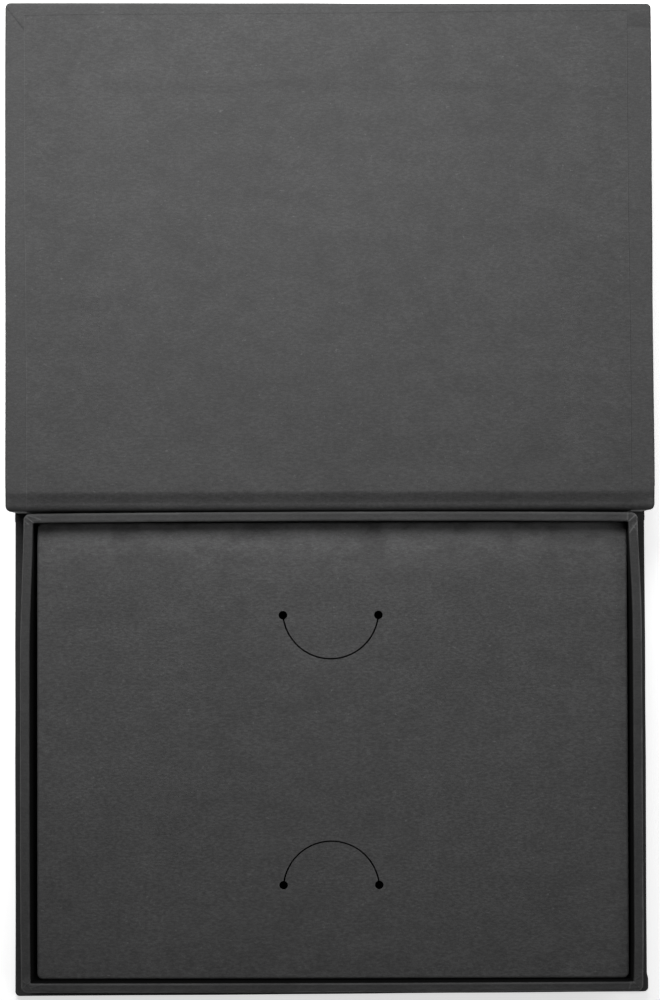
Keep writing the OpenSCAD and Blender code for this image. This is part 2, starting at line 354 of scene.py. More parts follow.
CASE_PAPER = paper("case_paper", charcoal(0.86), grain=1.5, speck=1.0)
LINING_PAPER = paper("lining_paper", charcoal(0.86), grain=1.7, speck=1.3, cloud=1.4)
TRAY_PAPER = paper("tray_paper", charcoal(0.66), grain=1.7, speck=1.1, cloud=1.5)
PLATFORM_CARD = paper("platform_card", charcoal(1.0), grain=1.9, speck=1.3, cloud=1.5)
BOARD = grey_board("grey_board")

EDGE_STEPS = (0.0, 0.03, 0.08, 0.15, 0.24, 0.35, 0.5, 0.8, 1.2)


def rounded_pad(x_lines, y_lines, top, bottom, corner_r, edge_r):
    """A closed slab over grid lines: rounded corners in plan, rounded edges in height.
    top is a function of x and y; returns points, faces and each point's distance to the edge."""
    x, y = np.meshgrid(x_lines, y_lines)
    inset = np.minimum.reduce([x - x[0, 0], x[0, -1] - x, y - y[0, 0], y[-1, 0] - y])
    drop = edge_drop(inset, edge_r)
    px, py = round_corners(x, y, corner_r)
    upper = np.stack([px, py, top(px, py) - drop], -1).reshape(-1, 3)
    lower = np.stack([px, py, bottom + drop], -1).reshape(-1, 3)
    rows, columns = x.shape
    count = rows * columns
    faces = [*grid_faces(rows, columns), *grid_faces(rows, columns, count)[:, ::-1]]
    loop = edge_loop(rows, columns)
    after = np.roll(loop, -1)
    faces += list(np.stack([loop, loop + count, after + count, after], -1))
    return np.concatenate([upper, lower]), faces, np.concatenate([inset.ravel(), inset.ravel()])


def edge_wear(inset, edge_r, points, seed, size=1.0):
    """Worn paper along a folded edge, patchy along its length."""
    along = points[:, 0] + 1.7 * points[:, 1]
    patchy = 0.55 + waver(along, seed, 67.0, 0.3)
    return size * np.clip(patchy, 0, 1) * np.exp(-(((inset - 0.3 * edge_r) / (0.7 * edge_r)) ** 2))


# The cover: case paper round its board

COVER_EDGE_R = 0.5
CASE_CORNER_R = 1.1
# The case paper lies lower under the lining, from this far in
UNDER_LINING, UNDER_FROM = 0.14, (12, 15)
# How far the pasted papers stand out past the board
SIDE_FLARE, NEAR_RIGHT_FLARE = 0.1, 0.25
FAR_BULGE, FAR_SLANT = 0.45, 0.35
TUCK_X = (69.0, 74.6)
TUCK_Y = (FAR_Y - 5.7, FAR_Y - 1.6)
SEAM_SLOPE, SEAM_DEPTH = 0.78, 0.09
TUCK_RISE, TUCK_DIP = 0.22, 0.07
# Painted shade in the mitre seam's groove, and on the far right tuck that slopes away from the light
SEAM_SHADE, TUCK_SHADE = 0.4, 0.14


def corner_fold(x, y):
    """Height of the layers at the two far corners, above the flat turned-in paper."""
    left = (x + HALF_W) - SEAM_SLOPE * (FAR_Y - y)
    reach = ramp(y, FAR_Y - TURN_IN, FAR_Y - TURN_IN + 3)
    seam = -SEAM_DEPTH * np.exp(-((left / 0.13) ** 2)) * reach * (x < 0)
    tuck = ramp(x, TUCK_X[0] - 0.4, TUCK_X[0] + 0.4)
    slope = np.clip((TUCK_Y[1] - y) / (TUCK_Y[1] - TUCK_Y[0]), 0, 1)
    back = 1 - ramp(-y, -TUCK_Y[0] - 0.05, -TUCK_Y[0] + 0.35)
    return seam + TUCK_RISE * tuck * (1 - slope) * slope * 2 * back - TUCK_DIP * tuck * slope * back


def cover_case_paper():
    """The front cover's case paper, with its mitred far corners, rubbed paler edges, and painted shade in
    the mitre seam and on the far right tuck.
    """
    xs = spaced(-HALF_W, HALF_W, 2.0, fine=[(-72.5, 2.5, 26), (72.2, 2.8, 26)], edge=EDGE_STEPS)
    ys = spaced(NEAR_Y, FAR_Y, 2.0, fine=[(FAR_Y - 3.4, 3.2, 40)], edge=EDGE_STEPS)

    def top(x, y):
        pillow = -0.05 * (1 - ramp(FAR_Y - y, 0.3, 2.4))
        inner = np.minimum(FAR_Y - y, HALF_W - np.abs(x))
        return COVER_HIGH[2] + corner_fold(x, y) + pillow - UNDER_LINING * ramp(inner, *UNDER_FROM)

    points, faces, inset = rounded_pad(xs, ys, top, COVER_LOW[2], CASE_CORNER_R, COVER_EDGE_R)
    side = np.clip(np.abs(points[:, 0]) - HALF_W + 3, 0, 3) / 3
    far = ramp(points[:, 1], FAR_Y - 3, FAR_Y)
    near_right = (points[:, 0] > 0) * (1 - ramp(points[:, 1], NEAR_Y, NEAR_Y + 60))
    flare = SIDE_FLARE + NEAR_RIGHT_FLARE * near_right
    points[:, 0] += np.sign(points[:, 0]) * side * (waver(points[:, 1], 5, 95, 0.05) + flare)
    slant = FAR_BULGE - FAR_SLANT * points[:, 0] / HALF_W
    points[:, 1] += far * (waver(points[:, 0], 6, 120, 0.05) + slant)
    obj = new_piece("cover_case_paper", points, faces, CASE_PAPER)
    top_side = points[:, 2] > COVER_LOW[2] + 1.2
    wear_and_highlight = edge_wear(inset, COVER_EDGE_R, points, 7, 0.5) * top_side * (0.4 + 0.6 * far)
    seam = (points[:, 0] + HALF_W) - SEAM_SLOPE * (FAR_Y - points[:, 1])
    patch = ramp(points[:, 0], TUCK_X[0] - 0.3, TUCK_X[0] + 0.3)
    patch = patch * ramp(points[:, 1], TUCK_Y[0], TUCK_Y[0] + 0.6)
    patch = patch * (1 - ramp(points[:, 1], TUCK_Y[1] - 1.2, TUCK_Y[1] + 0.6))
    # Painted shade: a dark line along the mitre seam, and a darker patch on the far right tuck
    in_corner = (points[:, 1] > FAR_Y - 7.5) * (points[:, 0] < 0)
    painted_seam_shade = SEAM_SHADE * np.exp(-((seam / 0.16) ** 2)) * in_corner
    paint(obj, wear_and_highlight, np.clip(painted_seam_shade + TUCK_SHADE * patch, 0, 1))
    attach(obj, "cover")
    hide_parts("case_paper_front")


# One lining sheet: over the cover, through the joint and over the spine

GROOVE = 0.65
RIDGE_Y = SPINE_BACK - 0.42
SINK = 0.12
SPINE_TURN_R = 1.65
SPINE_FACE = SPINE_IN + 0.14
LINING_SHIFT = 0.5
SEAM_PRINT, SEAM_PRINT_SLOPE = 0.035, 0.8
# Painted highlights: a pale line on the pressed ridge and along the lining's left and right cut edges
RIDGE_HIGHLIGHT, LEFT_EDGE_HIGHLIGHT, RIGHT_EDGE_HIGHLIGHT = 0.2, 0.45, 0.25
# Painted shade along the step where the lining sinks past the turned-in papers, and along its far edge
SUNK_SHADE, FAR_EDGE_SHADE = 0.03, 0.3
# Shares of light that the paper loses on the joint's slope and in the gap behind the tray
SLOPE_SHADE = 0.26
GAP_SHADE = 0.7


def groove_depth(x, y):
    """The pressed joint slopes down from the cover to the spine, less so at its two ends."""
    down = 1 - ramp(y, RIDGE_Y, NEAR_Y + 0.2)
    rise = 0.02 * np.exp(-(((y - RIDGE_Y + 0.1) / 0.25) ** 2))
    fade = 0.4 + 0.6 * ramp(HALF_W - np.abs(x), 2.0, 13.0)
    return (GROOVE * down - rise) * fade


def sheet_path():
    """Points (y, z) from the far edge of the cover to the foot of the spine's lining, unpressed."""
    sink_y = FAR_Y - TURN_IN
    steps = (0.05, 0.15, 0.4, 0.8)
    flat = spaced(NEAR_Y + 0.4, LINING_HIGH[1], 1.3, fine=[(sink_y, 1.8, 19)], edge=steps)
    path = [(y, LINING_HIGH[2]) for y in flat[::-1]]
    for y in np.linspace(NEAR_Y + 0.3, SPINE_FACE + SPINE_TURN_R + 0.08, 34):
        path.append((y, LINING_HIGH[2]))
    turn_r = SPINE_TURN_R
    centre = (SPINE_FACE + turn_r, LINING_HIGH[2] - turn_r)
    for a in np.linspace(0, 90, 17):
        t = math.radians(a)
        path.append((centre[0] - turn_r * math.sin(t), centre[1] + turn_r * math.cos(t)))
    for z in np.linspace(centre[1], BASE_HIGH[2] + 0.3, 12)[1:]:
        path.append((SPINE_FACE, z))
    return np.array(path)


def sink_under(x, y):
    """How far the lining has sunk past the turned-in papers beneath it."""
    wave = waver(x, 11, 83, 0.6)
    far = ramp(FAR_Y - TURN_IN - y + wave, -1.5, 1.5)
    slanted = np.minimum(HALF_W + x, HALF_W - x) - TURN_IN
    side = ramp(slanted + waver(y, 12, 71, 0.3), -1.2, 1.2)
    return SINK * np.minimum(far, side)


def seam_under_lining(x, y):
    """The mitre seam shows faintly through the lining at the far left corner."""
    run = (x + HALF_W) - SEAM_PRINT_SLOPE * (FAR_Y - y)
    fade = ramp(-y, -FAR_Y + 3, -FAR_Y + 5) * (1 - ramp(-y, -FAR_Y + 13, -FAR_Y + 19))
    return SEAM_PRINT * (1 - ramp(run, -0.35, 0.35)) * fade * (x < -30)


def joint_shade(co, shade, depth):
    """Painted shade on the pressed slope, and in the gap from a depth below the rim."""
    slope = SLOPE_SHADE * ramp(NEAR_Y - co[:, 1], -0.2, 0.9)
    gap = GAP_SHADE * ramp(RIM_Z - co[:, 2], depth, depth + 1.0) * (co[:, 1] < NEAR_Y)
    return 1 - (1 - shade) * (1 - slope) * (1 - gap)


def lining():
    """The lining, with thin pale lines painted as highlights along its cut edges and on the pressed
    ridge, and painted shade at its far edge, on its sunken step, on the joint's slope and in the gap.
    """
    path = sheet_path()
    xs = spaced(LINING_LOW[0], LINING_HIGH[0], 1.3, edge=(0.05, 0.12, 0.3, 0.6, 1.0))
    x, y = np.meshgrid(xs, path[:, 0])
    z = np.repeat(path[:, 1][:, None], len(xs), 1)
    flat = ramp(y, NEAR_Y + 1.5, NEAR_Y + 6)
    spread = np.minimum(x - xs[0], xs[-1] - x)
    z = z - groove_depth(x, y) - sink_under(x, y) * flat - seam_under_lining(x, y)
    band = 0.03 * ramp(x, 25, 45) * (1 - ramp(x, 55, 66)) * np.exp(-(((FAR_Y - y - 11.5) / 1.6) ** 2))
    z = z + flat * (waver(x + 0.6 * y, 13, 57, 0.010) + waver(x - 0.8 * y, 14, 39, 0.006)) - band
    reach = ramp(y, FAR_Y - 9, FAR_Y)
    y = y + reach * (0.42 * x / HALF_W - 0.16 + waver(x, 15, 140, 0.1))
    x = x + LINING_SHIFT * (1 - ramp(y, NEAR_Y, FAR_Y))
    x = x + (1 - ramp(spread, 0, 4)) * waver(y, 16, 110, 0.06) * flat
    points = np.stack([x, y, z], -1).reshape(-1, 3)
    obj = new_piece("cover_lining", points, grid_faces(*x.shape)[:, ::-1], LINING_PAPER)
    turn_faces(obj)
    thicken(obj, PAPER_T)
    obj.data.set_sharp_from_angle(angle=math.radians(45))
    co = coordinates(obj)
    ridge = np.exp(-(((co[:, 1] - RIDGE_Y + 0.25) / 0.35) ** 2)) * (co[:, 2] > RIM_Z - 1.2)
    border = np.tile(spread.ravel(), 2)
    rim = np.exp(-((border / 0.14) ** 2)) * np.where(co[:, 0] < 0, LEFT_EDGE_HIGHLIGHT, RIGHT_EDGE_HIGHLIGHT)
    wear_and_highlight = np.clip(RIDGE_HIGHLIGHT * ridge * (0.7 + waver(co[:, 0], 17, 51, 0.5)) + rim, 0, 1)
    sunk = np.exp(-(((FAR_Y - TURN_IN - co[:, 1] + waver(co[:, 0], 11, 83, 0.6)) / 1.6) ** 2))
    far_edge = np.exp(-(((np.tile(path[:, 0].repeat(len(xs)), 2) - path[0, 0]) / 0.14) ** 2))
    flat_shade = np.clip(SUNK_SHADE * sunk + FAR_EDGE_SHADE * far_edge, 0, 1)
    paint(obj, wear_and_highlight, joint_shade(co, flat_shade, 0.7))
    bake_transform(obj)
    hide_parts("liner_front", "liner_hinge", "liner_spine")


# The joint's case paper: the turned-in layer under the lining, and the outer roll

JOINT_END_R = 1.2
# How far the two ends of the turned-in paper lie past the boards
RIGHT_END, LEFT_END = 0.3, 0.08
TURN_IN_LIFT = 0.012
PUCKER = 0.12
PLAIN_WEAR = 0.05


def joint_turn_in():
    """The turned-in case paper under the lining; it shows at the two ends of the joint."""
    turn_r = SPINE_TURN_R - PAPER_T
    centre_y, centre_z = SPINE_FACE + SPINE_TURN_R, LINING_HIGH[2] - SPINE_TURN_R
    ys = list(np.linspace(NEAR_Y + 1.6, centre_y + 0.08, 40))
    level = [COVER_HIGH[2]] * len(ys)
    for a in np.linspace(0, 90, 14):
        t = math.radians(a)
        ys.append(centre_y - turn_r * math.sin(t))
        level.append(centre_z + turn_r * math.cos(t))
    xs = spaced(-HALF_W, HALF_W, 2.0, fine=[(-72.4, 2.6, 18), (72.4, 2.6, 18)], edge=EDGE_STEPS)
    x, y = np.meshgrid(xs, ys)
    z = TURN_IN_LIFT + np.repeat(np.array(level)[:, None], len(xs), 1) - groove_depth(x, y)
    spread = HALF_W - np.abs(x)
    z = z - edge_drop(spread, COVER_EDGE_R)
    pucker = np.exp(-(((spread - 0.9) / 0.5) ** 2)) * np.exp(-(((y - SPINE_BACK - 0.2) / 0.5) ** 2))
    z = z + PUCKER * pucker
    y = y + edge_drop(spread, JOINT_END_R) * ramp(-y, -RIDGE_Y, -SPINE_FACE) * 0.9
    overhang = np.sign(x) * np.where(x > 0, RIGHT_END, LEFT_END)
    points = np.stack([x + overhang, y, z], -1).reshape(-1, 3)
    obj = new_piece("joint_turn_in", points, grid_faces(*x.shape)[:, ::-1], CASE_PAPER)
    turn_faces(obj)
    thicken(obj, PAPER_T)
    obj.data.set_sharp_from_angle(angle=math.radians(45))
    co = coordinates(obj)
    ends = np.exp(-(((HALF_W - np.abs(co[:, 0]) - 0.5) / 0.6) ** 2))
    low = np.exp(-(((co[:, 1] - SPINE_BACK + 0.3) / 1.0) ** 2))
    paint(obj, np.clip(0.9 * ends * low + 0.1 * low, 0, 1), joint_shade(co, 0.0, 0.9))
    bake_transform(obj)


def joint_outer_paper():
    """The outer paper of the joint, from the spine's back to the lower edge of the cover."""
    low_z = COVER_LOW[2] + 0.02
    top_z = COVER_HIGH[2] - GROOVE - 0.2
    u = np.linspace(0, 1, 26)
    ys = SPINE_BACK - 0.05 + (NEAR_Y + 0.5 - SPINE_BACK + 0.05) * u
    rise = RIM_Z - 2.6 + (top_z - RIM_Z + 2.6) * ramp(u, 0, 0.35)
    fall = (top_z - low_z) * ramp(u, 0.4, 0.85)
    xs = spaced(-HALF_W, HALF_W, 3.0, edge=EDGE_STEPS)
    x, y = np.meshgrid(xs, ys)
    z = np.repeat((rise - fall)[:, None], len(xs), 1)
    points = np.stack([x - np.sign(x) * 0.06, y, z], -1).reshape(-1, 3)
    obj = new_piece("joint_case_paper", points, grid_faces(*x.shape), CASE_PAPER)
    turn_faces(obj, up=False)
    thicken(obj, PAPER_T)
    obj.data.set_sharp_from_angle(angle=math.radians(45))
    paint(obj, PLAIN_WEAR, 0)
    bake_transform(obj)
    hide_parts("case_paper_hinge")


# The spine and the back cover

# The boards' pieces are smaller than their papers by this much on every side
WITHIN = 0.2
BASE_EDGE_R = 0.45
BASE_SEAM_DEPTH = 0.07
# The front edge runs a little slanted, and its right corner sticks out
BASE_SLANT, BASE_OUT, EAR = 0.36, 0.05, 0.3


def spine_case_paper():
    """The wrapped spine: a standing slab with rounded edges, and the lower joint at its foot."""
    height = COVER_HIGH[2] - GROOVE - 0.5
    obj, inset, turned = standing_slab("spine_case_paper", height, 0.0, 1.0, CASE_PAPER)
    paint(obj, edge_wear(inset, 0.6, turned, 21, 0.35), 0)
    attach(obj, "tray")
    lower_joint("lower_joint_paper", BASE_HIGH[1] - 0.6, SPINE_BACK - 0.5, (0.03, 0.45, 0.03), False)
    heights = (BASE_HIGH[2] - 0.1, BASE_HIGH[2] + 0.07, BASE_HIGH[2] - 0.2)
    lower_joint("lower_joint_lining", BASE_HIGH[1] - 0.95, SPINE_FACE + 0.3, heights, True)
    core, _, _ = standing_slab("spine_board_core", height - WITHIN, WITHIN, 0.8, BOARD)
    paint(core, 0, 0)
    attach(core, "tray")
    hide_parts("spine_board")
    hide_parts("case_paper_spine")


def standing_slab(name, height, inwards, edge_r, material):
    """A rounded slab that stands along the spine; inwards makes it smaller on every side."""
    half = HALF_W - inwards
    xs = spaced(-half, half, 3.0, edge=EDGE_STEPS)
    zs = spaced(inwards, height, 1.5, edge=EDGE_STEPS)
    near = SPINE_FACE + PAPER_T + inwards
    thick = SPINE_BACK - inwards - near
    points, faces, inset = rounded_pad(xs, zs, lambda a, b: 0 * a + thick, 0.0, 1.0, edge_r)
    turned = np.stack([points[:, 0], near + points[:, 2], points[:, 1]], -1)
    return new_piece(name, turned, faces, material), inset, turned


def lower_joint(name, near, far, heights, faces_up):
    """A strip of paper across the lower joint, with its heights at the near edge, middle and far edge."""
    xs = spaced(-HALF_W + 0.1, HALF_W - 0.1, 3.0, edge=EDGE_STEPS)
    x, y = np.meshgrid(xs, np.linspace(near, far, 13))
    u = (y - near) / (far - near)
    start, middle, end = heights
    z = start + (middle - start) * ramp(u, 0, 0.5) + (end - middle) * ramp(u, 0.5, 1)
    points = np.stack([x, y, z], -1).reshape(-1, 3)
    strip = new_piece(name, points, grid_faces(*x.shape), CASE_PAPER)
    turn_faces(strip, up=faces_up)
    thicken(strip, PAPER_T)
    paint(strip, PLAIN_WEAR, 0)
    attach(strip, "tray")


def back_case_paper():
    """The back cover's case paper under the tray, with its mitred front corners."""
    xs = spaced(-HALF_W, HALF_W, 2.5, fine=[(-72.5, 2.5, 16), (72.5, 2.5, 16)], edge=EDGE_STEPS)
    ys = spaced(BASE_LOW[1], BASE_HIGH[1], 2.5, fine=[(BASE_LOW[1] + 2.5, 2.5, 22)], edge=EDGE_STEPS)

    def top(x, y):
        seam_l = np.exp(-((((x + HALF_W) - (y - BASE_LOW[1])) / 0.16) ** 2)) * (x < 0)
        seam_r = np.exp(-((((HALF_W - x) - (y - BASE_LOW[1])) / 0.16) ** 2)) * (x > 0)
        near = ramp(-y, -BASE_LOW[1] - 6, -BASE_LOW[1] - 3)
        return BASE_HIGH[2] - BASE_SEAM_DEPTH * (seam_l + seam_r) * near

    points, faces, inset = rounded_pad(xs, ys, top, BASE_LOW[2], CASE_CORNER_R, BASE_EDGE_R)
    front = ramp(-points[:, 1], -BASE_LOW[1] - 12, -BASE_LOW[1])
    slant = BASE_SLANT * points[:, 0] / HALF_W + BASE_OUT
    points[:, 1] += front * (slant + waver(points[:, 0], 31, 130, 0.05))
    ear = ramp(points[:, 0], HALF_W - 3, HALF_W)
    ear = ear * ramp(-points[:, 1], -BASE_LOW[1] - 5, -BASE_LOW[1] - 3.2)
    side = np.clip(np.abs(points[:, 0]) - HALF_W + 3, 0, 3) / 3
    points[:, 0] += np.sign(points[:, 0]) * side * (waver(points[:, 1], 32, 90, 0.05) - 0.1)
    points[:, 0] += EAR * ear
    obj = new_piece("back_case_paper", points, faces, CASE_PAPER)
    back_board_core()
    upper = points[:, 2] > 1.15
    corner = ramp(np.abs(points[:, 0]), HALF_W - 4, HALF_W) * front
    wear_and_highlight = edge_wear(inset, BASE_EDGE_R, points, 33, 0.35) * upper * (0.6 + 1.1 * corner)
    paint(obj, np.clip(wear_and_highlight, 0, 1), 0)
    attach(obj, "tray")
    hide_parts("case_paper_back")


def back_board_core():
    """The board inside the base, kept within its paper at the worn front edge."""
    half = HALF_W - WITHIN - 0.2
    near = BASE_LOW[1] + WITHIN + 0.5
    xs = spaced(-half, half, 10.0, edge=(0.2, 0.8))
    ys = spaced(near, BASE_HIGH[1] - WITHIN, 10.0, edge=(0.2, 0.8))
    top = BASE_HIGH[2] - WITHIN
    points, faces, _ = rounded_pad(xs, ys, lambda x, y: 0 * x + top, BASE_LOW[2] + WITHIN, 0.9, 0.2)
    core = new_piece("back_board_core", points, faces, BOARD)
    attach(core, "tray")
    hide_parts("back_board")


# The tray: four papered walls, bowed a little by the drying paste

WALL_T = 2.2
RIM_OUT_R = 0.62
RIM_IN_R = 0.55
CORNER_R = 1.45
INNER_CORNER_R = 0.25
# Bow of each wall at its rim: leans inwards at its ends, swells between them
LEFT_BACK_LEAN, LEFT_SWELL, LEFT_FRONT_LEAN = 0.72, 0.16, 0.1
RIGHT_BACK_LEAN, RIGHT_SWELL, RIGHT_FRONT_LEAN = 0.2, 0.68, 0.18
BACK_LEAN, BACK_SWELL = 0.32, 0.36
FRONT_OUT, FRONT_SWELL, FRONT_SLANT = 0.3, 0.12, 0.06
# Share of light that the walls' inner faces lose, so that the gap reads black from above
WALL_SHADE = 0.93
# Pale rim lines: the outer edge rubbed, made stronger at the front and right as painted highlight; fold
# edges at the corners rubbed
RIM_WEAR_AND_HIGHLIGHT, FOLD_WEAR = 1.5, 1.3

CLOSE_STEPS = np.linspace(0.0014, 0.034, 24)
SIDE_STEPS = np.concatenate([CLOSE_STEPS, np.linspace(0.042, 0.958, 44), 1 - CLOSE_STEPS[::-1]])


def tray_outline(inset, radius):
    """Points round the tray at a distance inside its outer face, with s from 0 to 4 by side.
    Every call gives the same number of points, so that the outlines can be joined."""
    w, d = TRAY_HIGH[0] - inset, TRAY_HIGH[1] - inset
    corners = ((1, 1, 0), (-1, 1, 90), (-1, -1, 180), (1, -1, 270))
    points, place = [], []
    for k, (sx, sy, start) in enumerate(corners):
        cx, cy = sx * (w - radius), sy * (d - radius)
        for a in np.linspace(start, start + 90, 13):
            t = math.radians(a)
            points.append((cx + radius * math.cos(t), cy + radius * math.sin(t)))
            place.append(k - 0.02 + 0.04 * (a - start) / 90)
        nx, ny, begin = corners[(k + 1) % 4]
        ex, ey = nx * (w - radius), ny * (d - radius)
        t0, t1 = math.radians(start + 90), math.radians(begin)
        a = np.array([cx + radius * math.cos(t0), cy + radius * math.sin(t0)])
        b = np.array([ex + radius * math.cos(t1), ey + radius * math.sin(t1)])
        for u in SIDE_STEPS:
            points.append(tuple(a + (b - a) * u))
            place.append(k + 0.02 + 0.96 * u)
    return np.array(points), np.array(place)


def bow(points, lift):
    """Moves points of the tray outwards as the walls have bowed; lift is 0 at the floor, 1 at the rim."""
    x, y = points[:, 0], points[:, 1]
    w, d = TRAY_HIGH[0], TRAY_HIGH[1]
    t = np.clip((d - y) / (2 * d), 0, 1)
    left = -LEFT_BACK_LEAN * (1 - ramp(t, 0.0, 0.3)) + LEFT_SWELL * np.sin(math.pi * t)
    left = left - LEFT_FRONT_LEAN * ramp(t, 0.85, 1)
    right = -RIGHT_BACK_LEAN * (1 - ramp(t, 0.0, 0.2)) + RIGHT_SWELL * ramp(t, 0, 0.25)
    right = right - RIGHT_FRONT_LEAN * ramp(t, 0.88, 1)
    s = np.clip((x + w) / (2 * w), 0, 1)
    back = -BACK_LEAN + BACK_SWELL * np.sin(math.pi * s) ** 0.7
    front = FRONT_OUT + FRONT_SWELL * np.sin(math.pi * s) - FRONT_SLANT * s
    by_x = ramp(np.abs(x) / w, 0.6, 0.95)
    by_y = ramp(np.abs(y) / d, 0.6, 0.94)
    dx = np.where(x > 0, right, -left) * by_x
    dy = np.where(y > 0, back, -front) * by_y
    return np.stack([dx, dy], -1) * lift[:, None]


def tray_walls():
    """One closed ring: the wall's section led round the tray's outline, bowed and folded."""
    section = wall_path()
    rings, insets = [], []
    for inset, z in section:
        share = np.clip(inset / WALL_T, 0, 1)
        flat, place = tray_outline(inset, CORNER_R + (INNER_CORNER_R - CORNER_R) * share)
        lift = np.full(len(flat), ((z - TRAY_LOW[2]) / (RIM_Z - TRAY_LOW[2])) ** 1.3)
        flat = flat + bow(flat, lift)
        top = np.clip((z - RIM_Z + 0.7) / 0.7, 0, 1)
        sag = waver(place * 40, 41, 53, 0.045) - 0.05
        fold, _ = corner_folds(flat[:, 0], flat[:, 1])
        rings.append(np.column_stack([flat, np.full(len(flat), z) + top * (sag + fold)]))
        insets.append(np.full(len(flat), inset))
    rings = np.array(rings)
    rows, columns = rings.shape[:2]
    faces = []
    for i in range(rows):
        a = i * columns + np.arange(columns)
        b = ((i + 1) % rows) * columns + np.arange(columns)
        faces += list(np.stack([a, np.roll(a, -1), np.roll(b, -1), b], -1))
    points = rings.reshape(-1, 3)
    obj = new_piece("tray_walls", points, faces, TRAY_PAPER)
    inset = np.concatenate(insets)
    high = ramp(points[:, 2], RIM_Z - 1.3, RIM_Z - 0.25)
    outer = RIM_WEAR_AND_HIGHLIGHT * np.exp(-(((inset - 0.24) / 0.13) ** 2))
    inner = np.exp(-(((inset - WALL_T + 0.22) / 0.14) ** 2))
    along = points[:, 0] - 1.3 * points[:, 1]
    patchy = np.clip(0.7 + waver(along, 43, 47, 0.4), 0.15, 1)
    at_front = ramp(-points[:, 1], 52, 55)
    side = 0.5 + 0.9 * ramp(points[:, 0], 68, 71) + 1.6 * at_front
    _, folded = corner_folds(points[:, 0], points[:, 1])
    inside = (inset > 0.9 * WALL_T) * (1 - ramp(points[:, 2], RIM_Z - 0.6, RIM_Z - 0.15))
    # Outer edge: rubbed paler, stronger at the front and right as painted highlight; inner edge: a
    # painted highlight, strongest at the front; inner faces: painted shade
    wear_and_highlight = (outer * side + (0.35 + at_front) * inner) * patchy * high + FOLD_WEAR * folded * high
    paint(obj, np.clip(wear_and_highlight, 0, 2), WALL_SHADE * inside)
    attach(obj, "tray")
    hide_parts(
        "tray_paper", "tray_wall_front", "tray_wall_back", "tray_wall_left", "tray_wall_right",
        "corner_stay_front_left", "corner_stay_front_right",
        "corner_stay_back_left", "corner_stay_back_right",
    )


def wall_path():
    """The wall's section as (inset, z): up the outside, over the rim, down the inside and back below."""
    path = [(0.0, TRAY_LOW[2])]
    path += [(0.0, z) for z in np.linspace(TRAY_LOW[2] + 1, RIM_Z - RIM_OUT_R, 8)]
    for a in np.linspace(0, 90, 9)[1:]:
        t = math.radians(a)
        path.append((RIM_OUT_R * (1 - math.cos(t)), RIM_Z - RIM_OUT_R * (1 - math.sin(t))))
    flat = np.linspace(RIM_OUT_R, WALL_T - RIM_IN_R, 11)
    for k in range(1, 10):
        path.append((flat[k], RIM_Z - 0.03 * math.sin(math.pi * k / 10)))
    for a in np.linspace(0, 90, 9)[:-1]:
        t = math.radians(a)
        path.append((WALL_T - RIM_IN_R * (1 - math.sin(t)), RIM_Z - RIM_IN_R * (1 - math.cos(t))))
    path += [(WALL_T, z) for z in np.linspace(RIM_Z - RIM_IN_R, FLOOR_TOP + 0.05, 8)]
    path += [(1.2, FLOOR_TOP + 0.02)]
    path += [(0.7, TRAY_LOW[2])]
    return path


# The folded edges of the overlapping paper at each corner, as lines (a, b, c, d, height).
# A line runs from (a, b) to (c, d), measured inwards from the corner's outer faces.
BACK_LEFT = ((0.5, 0.25, 3.1, 2.3, 0.16), (1.1, 0.2, 4.6, 1.5, 0.12), (0.3, 1.2, 1.9, 2.6, 0.10))
BACK_RIGHT = (
    (0.4, 0.5, 2.6, 2.5, 0.17), (2.6, 0.3, 2.7, 2.4, 0.12),
    (0.5, 2.6, 2.2, 4.9, 0.13), (1.5, 3.4, 0.4, 4.6, 0.11),
)
FRONT_LEFT = ((0.5, 2.4, 2.5, 0.4, 0.14), (0.4, 0.6, 2.5, 2.5, 0.15), (2.4, 0.9, 4.4, 1.3, 0.10))
FRONT_RIGHT = ((0.5, 0.4, 2.4, 2.4, 0.14), (0.5, 2.9, 2.4, 1.9, 0.11), (2.9, 0.4, 2.3, 2.2, 0.10))
# The folds fade out between these distances from the corner
FOLD_REACH = (5.5, 8)
CORNER_FOLDS = ((-1, 1, BACK_LEFT), (1, 1, BACK_RIGHT), (-1, -1, FRONT_LEFT), (1, -1, FRONT_RIGHT))


def fold_line(a, b, line):
    """Distance across a folded edge with its sign, and how near the point is to its length."""
    ax, ay, bx, by, _ = line
    length = math.hypot(bx - ax, by - ay)
    ux, uy = (bx - ax) / length, (by - ay) / length
    along = (a - ax) * ux + (b - ay) * uy
    across = (b - ay) * ux - (a - ax) * uy
    nearness = ramp(along, -0.4, 0.1) * (1 - ramp(along, length - 0.1, length + 0.4))
    return across, nearness


def corner_folds(x, y):
    """Height of the overlapping paper on the rim's corners, and how much paler its folded edges are
    rubbed.
    """
    height = np.zeros(len(x))
    paleness = np.zeros(len(x))
    for sx, sy, lines in CORNER_FOLDS:
        a = TRAY_HIGH[0] - x * sx
        b = TRAY_HIGH[1] - y * sy
        near = (1 - ramp(a, *FOLD_REACH)) * (1 - ramp(b, *FOLD_REACH))
        height += 0.05 * near * (waver(a + 2.3 * b, 61, 5.1, 1.0) * waver(a - 1.4 * b, 62, 4.3, 1.0))
        for line in lines:
            across, nearness = fold_line(a, b, line)
            step = ramp(across, -0.06, 0.1) * (1 - ramp(across, 0.3, 1.5))
            height += line[4] * step * nearness * near
            paleness += np.exp(-(((across - 0.1) / 0.12) ** 2)) * nearness * near
    return height, np.clip(paleness, 0, 1)


# The folded card platform and its two tabs

FOLD_R = 0.55
CROWN = 0.7
CARD_SHIFT = 0.3
